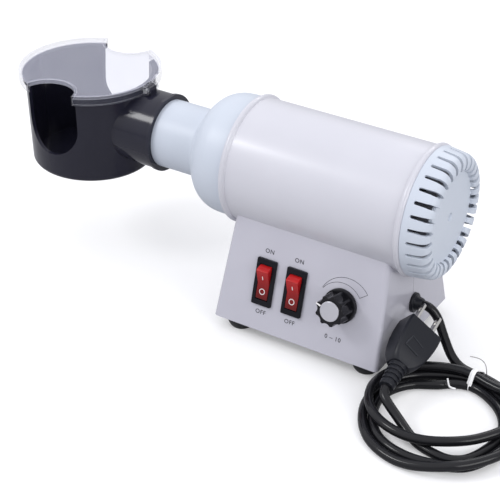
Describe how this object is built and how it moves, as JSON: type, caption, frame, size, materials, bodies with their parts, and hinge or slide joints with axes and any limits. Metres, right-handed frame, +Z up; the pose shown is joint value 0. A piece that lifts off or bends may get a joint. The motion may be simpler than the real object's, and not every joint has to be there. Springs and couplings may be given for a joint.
{
  "type": "eyeglass frame warmer",
  "caption": "Bench hot-air warmer for eyeglass frames: a blower barrel on a sloped base blows heated air into a turning bowl with a hinged clear lid.",
  "frame": {"origin": "on the surface the feet stand on, under the middle of the device's bounding box, cord left out", "axes": "+X from the bowl to the air inlet along the barrel, -Y out of the control panel, +Z up"},
  "size_m": [0.3887, 0.1603, 0.1384],
  "materials": {
    "enamelled_steel": "glossy",
    "enamelled_shell": "glossy",
    "pale_moulding": "satin",
    "zinc_plate": "satin",
    "foot_rubber": "matte",
    "screw_steel": "polished",
    "black_bowl": "glossy",
    "clear_lid": "clear",
    "switch_black": "satin",
    "rocker_red": "glossy, translucent",
    "contact_brass": "satin",
    "cap_aluminium": "satin",
    "control_metal": "satin",
    "cord_black": "satin",
    "tie_white": "matte",
    "bracket_steel": "satin",
    "fan_plastic": "matte",
    "mica_board": "satin",
    "heater_wire": "satin",
    "cutout_black": "matte",
    "board_green": "satin",
    "component_plastic": "satin"
  },
  "bodies": {
    "housing": {"barrel_tube": "enamelled_steel", "base_front_shell": "enamelled_shell", "base_rear_shell": "enamelled_shell", "board_components": "component_plastic", "board_screws": "screw_steel", "board_standoffs": "contact_brass", "bottom_plate": "zinc_plate", "bracket_screws": "screw_steel", "control_board": "board_green", "control_nut": "screw_steel", "control_washer": "screw_steel", "cord_coil": "cord_black", "cord_lead": "cord_black", "cord_tail": "cord_black", "cord_tie": "tie_white", "foot_screws": "screw_steel", "heat_sink": "cap_aluminium", "heat_switch_body": "switch_black", "heater_cards": "mica_board", "heater_sleeve": "mica_board", "heating_coil": "heater_wire", "motor_body": "control_metal", "motor_bracket": "bracket_steel", "nozzle_housing": "pale_moulding", "plug_blades": "contact_brass", "plug_body": "cord_black", "power_switch_body": "switch_black", "rubber_feet": "foot_rubber", "speed_control": "control_metal", "strain_relief": "cord_black", "switch_terminals": "contact_brass", "thermal_cutout": "cutout_black", "vent_cap": "pale_moulding"},
    "bowl": {"heat_bowl": "black_bowl", "lid_hinge_pin": "screw_steel"},
    "lid": {"clear_lid": "clear_lid"},
    "power_switch": {"power_rocker": "rocker_red"},
    "heat_switch": {"heat_rocker": "rocker_red"},
    "knob": {"adjust_knob": "switch_black", "knob_cap": "cap_aluminium", "control_shaft": "screw_steel"},
    "blower_rotor": {"fan_impeller": "fan_plastic", "motor_shaft": "screw_steel"}
  },
  "joints": [
    {"name": "bowl_swivel", "type": "hinge", "parent": "housing", "child": "bowl", "pos_m": [-0.05455, 0.00444, 0.0977], "axis": [1, 0, 0], "range_deg": [-90, 90]},
    {"name": "lid_hinge", "type": "hinge", "parent": "bowl", "child": "lid", "pos_m": [-0.06045, 0.00444, 0.1252], "axis": [0, 1, 0], "range_deg": [0, 105]},
    {"name": "power_rocker_pivot", "type": "hinge", "parent": "housing", "child": "power_switch", "pos_m": [0.0512, -0.0356, 0.03977], "axis": [-1, 0, 0], "range_deg": [0, 26]},
    {"name": "heat_rocker_pivot", "type": "hinge", "parent": "housing", "child": "heat_switch", "pos_m": [0.0721, -0.0356, 0.03977], "axis": [-1, 0, 0], "range_deg": [0, 26]},
    {"name": "knob_turn", "type": "hinge", "parent": "housing", "child": "knob", "pos_m": [0.1038, -0.03592, 0.04182], "axis": [0, 0.9681, -0.2504], "range_deg": [-75, 225]},
    {"name": "fan_spin", "type": "hinge", "parent": "housing", "child": "blower_rotor", "pos_m": [0.11745, 0.00444, 0.0977], "axis": [1, 0, 0], "continuous": true}
  ]
}
